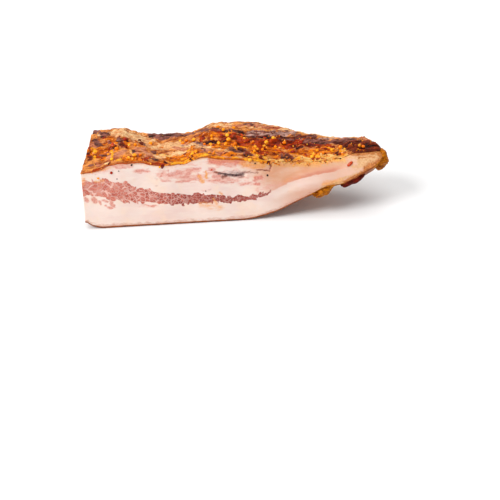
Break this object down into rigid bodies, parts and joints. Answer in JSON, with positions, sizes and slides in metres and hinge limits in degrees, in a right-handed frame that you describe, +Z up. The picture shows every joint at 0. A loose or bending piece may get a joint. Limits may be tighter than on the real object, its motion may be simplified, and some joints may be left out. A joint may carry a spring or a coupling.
{
  "type": "guanciale piece",
  "caption": "Cured pork jowl piece lying on its rind: a long flat cut face with lean streaks, a spiced crust on top and a raised ragged tail.",
  "frame": {"origin": "centre of the bounding box's bottom face, on the surface the piece lies on", "axes": "+X along the length from the straight cut end to the raised tail, +Y from the long cut face to the rounded natural edge, +Z up, rind to spiced crust"},
  "size_m": [0.2392, 0.0718, 0.0592],
  "materials": {
    "cured_pork": "moist cut fat and lean, waxy satin",
    "spice_crust": "dried spiced crust, glossy with fat",
    "rind": "hard translucent brown skin, glossy",
    "mustard_seed": "smooth seed hull, satin",
    "chilli_flake": "dried chilli skin, glossy",
    "pepper": "cracked black peppercorn, matt"
  },
  "bodies": {
    "root": {"guanciale": "cured_pork"}
  },
  "joints": []
}
